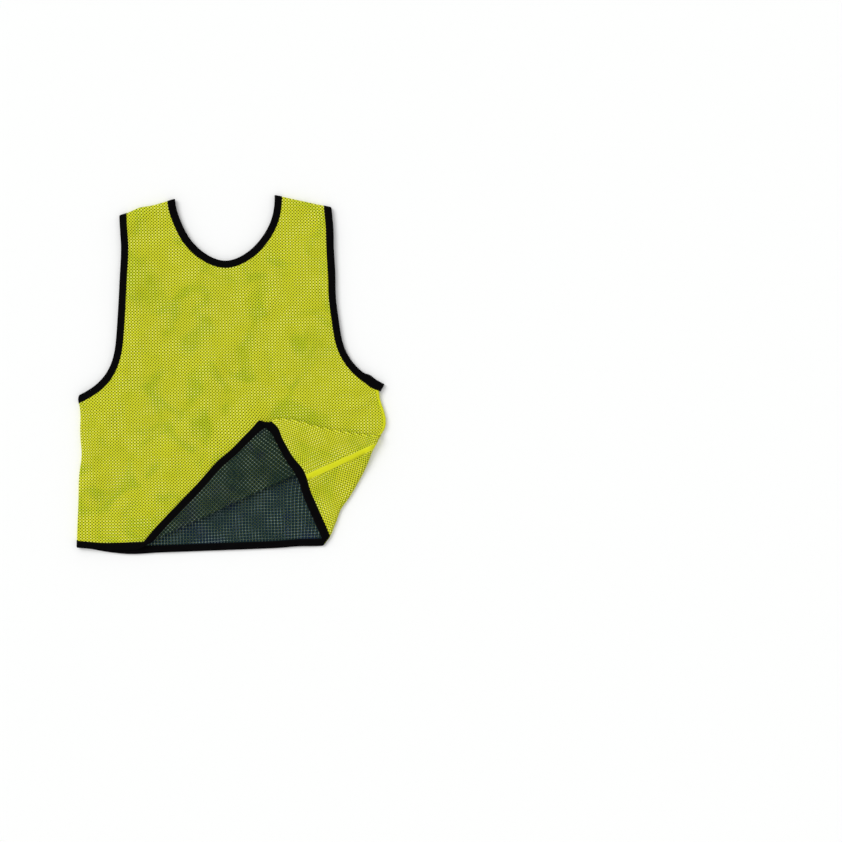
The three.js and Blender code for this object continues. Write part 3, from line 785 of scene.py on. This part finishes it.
def knit_tape(name, colour, shade, thread, roughness, stitch_rows):
    """Close knitted tape with fine cross ribs and rows of stitches along it."""
    material = bpy.data.materials.new(name)
    material.use_nodes = True
    add = add_nodes(material)
    shader = material.node_tree.nodes["Principled BSDF"]
    run = add("ShaderNodeUVMap", uv_map="grain").outputs["UV"]
    parts = add("ShaderNodeSeparateXYZ", {"Vector": run})
    along = add("ShaderNodeMath", {0: parts.outputs[0], 1: 1000.0}, operation="MULTIPLY").outputs[0]
    across = add("ShaderNodeMath", {0: parts.outputs[1], 1: 1000.0}, operation="MULTIPLY").outputs[0]

    # A stitch is 2.4 mm long in every 3.2 mm
    step = add("ShaderNodeMath", {0: along, 1: 3.2}, operation="FLOORED_MODULO").outputs[0]
    in_stitch = add("ShaderNodeMath", {0: step, 1: 2.4}, operation="LESS_THAN").outputs[0]
    stitches = None
    for place in stitch_rows:
        off = add("ShaderNodeMath", {0: across, 1: place}, operation="SUBTRACT").outputs[0]
        near = add("ShaderNodeMath", {0: off, 1: 0.0, 2: 0.3}, operation="COMPARE").outputs[0]
        row = add("ShaderNodeMath", {0: near, 1: in_stitch}, operation="MULTIPLY").outputs[0]
        if stitches is None:
            stitches = row
        else:
            stitches = add("ShaderNodeMath", {0: stitches, 1: row}, operation="MAXIMUM").outputs[0]

    rib_angle = add("ShaderNodeMath", {0: along, 1: 2 * math.pi / 0.9}, operation="MULTIPLY")
    ribs = add("ShaderNodeMath", {0: rib_angle.outputs[0]}, operation="SINE").outputs[0]
    yarn_angle = add("ShaderNodeMath", {0: across, 1: 2 * math.pi / 0.7}, operation="MULTIPLY")
    yarns = add("ShaderNodeMath", {0: yarn_angle.outputs[0]}, operation="SINE").outputs[0]
    weave = add("ShaderNodeMath", {0: ribs, 1: yarns}, operation="MULTIPLY").outputs[0]
    height = add("ShaderNodeMath", {0: weave, 1: 0.25, 2: stitches}, operation="MULTIPLY_ADD")
    bump = add("ShaderNodeBump", {"Height": height.outputs[0], "Distance": 0.0003})
    bump.inputs["Strength"].default_value = 0.6
    material.node_tree.links.new(bump.outputs[0], shader.inputs["Normal"])

    patches = add("ShaderNodeTexNoise", {"Vector": run, "Scale": 40.0, "Detail": 4.0})
    base = add("ShaderNodeMix", {"Factor": patches.outputs["Fac"]}, data_type="RGBA")
    base.inputs[6].default_value = (*colour, 1)
    base.inputs[7].default_value = (*shade, 1)
    sewn = add("ShaderNodeMix", {"Factor": stitches}, data_type="RGBA")
    material.node_tree.links.new(base.outputs[2], sewn.inputs[6])
    sewn.inputs[7].default_value = (*thread, 1)
    material.node_tree.links.new(sewn.outputs[2], shader.inputs["Base Color"])
    shader.inputs["Roughness"].default_value = roughness
    shader.inputs["Specular IOR Level"].default_value = 0.03
    return material


yellow_tape = knit_tape(
    "yellow_tape", colour=(0.70, 0.72, 0.016), shade=(0.60, 0.62, 0.012),
    thread=(0.78, 0.80, 0.06), roughness=0.6, stitch_rows=(1.5, 9.5),
)


def strip_outline(is_front):
    """The margin of a ply beside its side seam, from the hem's tape to the armhole's. Above the
    turned corner the right strip lies half on the back, so less of it shows."""
    if not is_front:
        inner = facing_back(moved(left_side, -STRIP_WIDTH))
        return [
            *between(inset(hem_edge(False), STRIP_INSET), left_side, inner),
            *between(inset(armhole_left, STRIP_INSET), inner, left_side),
        ]
    seam = front_right_edge
    widths = [STRIP_WIDTH] * 2 + [STRIP_TUCKED] * 3 + [STRIP_SHOWING] * len(side_curve)
    inside = [p - at(width, 0) for p, width in zip(seam, widths)]
    lower = edge_line(*seam[0].xy, *seam[1].xy)
    lower_inside = line(inside[0], -lower.normal)
    upper = line(seam[-1], right_side.normal)
    upper_inside = line(inside[-1], -right_side.normal)
    return [
        *between(inset(hem_edge(True), STRIP_INSET), lower_inside, lower),
        *seam[1:-1],
        *between(inset(armhole_right, STRIP_INSET), upper, upper_inside),
        *reversed(inside[1:-1]),
    ]


def edge_x(y, corners):
    """Where a seam's edge is at the height y."""
    for a, b in zip(corners, corners[1:]):
        if y <= b.y:
            break
    return a.x + (b.x - a.x) * (y - a.y) / (b.y - a.y)


def make_strip(is_front, name):
    bm = cut_cloth(strip_outline(is_front), is_front)
    grain = bm.loops.layers.uv["grain"]
    seam = front_right_edge if is_front else back_right_edge
    for f in bm.faces:
        for loop in f.loops:
            p = loop.vert.co
            off = edge_x(p.y, seam) - abs(p.x)
            loop[grain].uv = (p.y / 1000, off / 1000)
    lay_cloth(bm, is_front, FRONT_BASE + STACK - STRIP_HEIGHT if is_front else STRIP_HEIGHT)
    strip = finish_piece(name, bm, yellow_tape, STRIP_THICKNESS)
    return strip


strip_right = make_strip(True, "side_strip_right_tape")
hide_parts("side_strip_right")
strip_left = make_strip(False, "side_strip_left_tape")
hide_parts("side_strip_left")

# Neck binding: black knitted tape folded over the edge of both plies and stitched through. It
# runs round the front's neck and, over the shoulders, round the back's.

# The tape's section: how far in from the edge and how high above the outer face of its stack
BINDING = [
    (13.8, 0.24), (12.8, 0.21), (11.0, 0.20), (7.0, 0.20), (3.0, 0.22), (1.2, 0.45), (0.4, 1.0),
    (0.2, 1.8), (0.4, 2.6), (1.3, 3.15), (3.2, 3.4), (7.0, 3.4), (10.8, 3.1), (12.8, 2.62),
    (13.8, 2.4),
]
TAPE_THICKNESS = 0.35
ENDS_MEET_WITHIN = 0.6
black_tape = knit_tape(
    "black_tape", colour=(0.0012, 0.0010, 0.0012), shade=(0.0026, 0.0024, 0.0028),
    thread=(0.006, 0.006, 0.006), roughness=0.9, stitch_rows=(1.8, 27.8),
)


def fold_tape(edge, is_front):
    """Tape along an edge: a chain of points, extruded from one margin round to the other."""
    bm = bmesh.new()
    grain = bm.loops.layers.uv.new("grain")
    along = [0.0]
    for a, b in zip(edge, edge[1:]):
        along.append(along[-1] + (b - a).length)
    across = 0.0
    place = {}
    row = []
    last_step = BINDING[0]
    for step in BINDING:
        across += math.dist(step, last_step)
        last_step = step
        height = FRONT_BASE + STACK - step[1] if is_front else step[1]
        chain = inset(edge, step[0])
        if not row:
            row = [bm.verts.new(p) for p in chain]
            chain_edges = [bm.edges.new(pair) for pair in zip(row, row[1:])]
        else:
            made = set(bmesh.ops.extrude_edge_only(bm, edges=chain_edges)["geom"])
            row = [next(o for o in (e.other_vert(v) for e in v.link_edges) if o in made) for v in row]
            chain_edges = [bm.edges.get(pair) for pair in zip(row, row[1:])]
        for v, p, run in zip(row, chain, along):
            v.co = (p.x, p.y, height)
            place[v] = (run / 1000, across / 1000)
    for f in bm.faces:
        for loop in f.loops:
            loop[grain].uv = place[loop.vert]
    return bm


def trim(bm, limit):
    """Cuts off what lies past a line."""
    geom = [*bm.verts, *bm.edges, *bm.faces]
    bmesh.ops.bisect_plane(
        bm, geom=geom, dist=1e-4, plane_co=limit.point, plane_no=limit.normal, clear_outer=True
    )


def bind(name, edges, ends, node):
    """One closed round of tape: along the front's edge and back along the back's. The edges, and
    the lines that the tape ends at, are given for the back first and then for the front."""
    whole = bmesh.new()
    for is_front in (True, False):
        bm = fold_tape(edges[is_front], is_front)
        for end in ends[is_front]:
            trim(bm, end)
            for i in range(1, 8):
                score(bm, moved(end, -i / 2))
        score_folds(bm, is_front)
        for v in bm.verts:
            v.co = lay(v.co.copy(), is_front, on_tape=True)
        part = bpy.data.meshes.new("part")
        bm.to_mesh(part)
        bm.free()
        whole.from_mesh(part)
        bpy.data.meshes.remove(part)
    open_ends = [v for v in whole.verts if v.is_boundary]
    bmesh.ops.remove_doubles(whole, verts=open_ends, dist=ENDS_MEET_WITHIN / 1000)
    binding = finish_piece(name, whole, black_tape, TAPE_THICKNESS)
    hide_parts(node)
    return binding


neck_ends = [right_shoulder, left_shoulder]
neck_binding = bind("neck_tape", (neck, neck), (neck_ends, neck_ends), "neck_binding")

# Armhole bindings: the same black tape round each armhole, folded over the edges of all plies and
# stitched through. It runs from the shoulder down to the top of the side seam, where the right one's
# end stands off the side a little.
right_ends = [right_tape_end, right_shoulder]
left_ends = [left_side, left_shoulder]
armhole_tape_right = bind(
    "armhole_tape_right", (armhole_right, armhole_right), (right_ends, right_ends),
    "armhole_binding_right",
)
armhole_tape_left = bind(
    "armhole_tape_left", (armhole_left, armhole_left), (left_ends, left_ends),
    "armhole_binding_left",
)

# Hem binding: one round of the same black tape along the whole hem, folded over the edges of the
# plies and stitched through. Where the front is turned up it crosses both folds and makes the
# triangle's two upper sides.
front_seam = edge_line(*front_right_edge[0].xy, *front_right_edge[1].xy)
back_seam = edge_line(*back_right_edge[0].xy, *back_right_edge[1].xy)
hem_binding = bind(
    "hem_tape", (hem_edge(False), hem_edge(True)),
    ([left_side, back_seam], [left_side, front_seam]), "hem_binding",
)

# Floor: a plain pale sheet, wide enough to fill the picture except from very low down. Its size
# and the camera's are in metres.
FLOOR_HALF_WIDTH = 6
floor_bm = bmesh.new()
bmesh.ops.create_grid(floor_bm, x_segments=2, y_segments=2, size=FLOOR_HALF_WIDTH)
floor_mesh = bpy.data.meshes.new("floor")
floor_bm.to_mesh(floor_mesh)
floor_bm.free()
floor = bpy.data.objects.new("floor", floor_mesh)
bpy.context.collection.objects.link(floor)
pale = bpy.data.materials.new("pale_floor")
pale.use_nodes = True
pale_shader = pale.node_tree.nodes["Principled BSDF"]
pale_shader.inputs["Base Color"].default_value = (0.93, 0.935, 0.93, 1)
pale_shader.inputs["Roughness"].default_value = 0.9
pale_shader.inputs["Specular IOR Level"].default_value = 0.1
floor_mesh.materials.append(pale)

# Light: an even white room and one broad soft lamp from the upper left.
scene = bpy.context.scene
scene.world = bpy.data.worlds.new("room")
scene.world.use_nodes = True
room = scene.world.node_tree.nodes["Background"]
room.inputs["Color"].default_value = (1, 1, 1, 1)
room.inputs["Strength"].default_value = 0.74
lamp_data = bpy.data.lights.new("soft_lamp", "SUN")
lamp_data.angle = math.radians(35)
lamp_data.energy = 1.45
lamp = bpy.data.objects.new("soft_lamp", lamp_data)
lamp.rotation_euler = at(0.75, -0.65, -1.0).to_track_quat("-Z", "Y").to_euler()
bpy.context.collection.objects.link(lamp)
scene.view_settings.view_transform = "Standard"
scene.view_settings.look = "None"

# Camera: straight above the middle of the picture, which the bib fills the left half of.
PICTURE_WIDTH = 1.5636
CAMERA_HEIGHT = 3.0
camera_data = bpy.data.cameras.new("camera")
camera_data.sensor_width = 36
camera_data.lens = 36 * CAMERA_HEIGHT / PICTURE_WIDTH
camera = bpy.data.objects.new("camera", camera_data)
camera.location = (0.3534, -0.1020, CAMERA_HEIGHT)
camera.rotation_euler = (0, 0, math.radians(-2.2))
bpy.context.collection.objects.link(camera)
scene.camera = camera
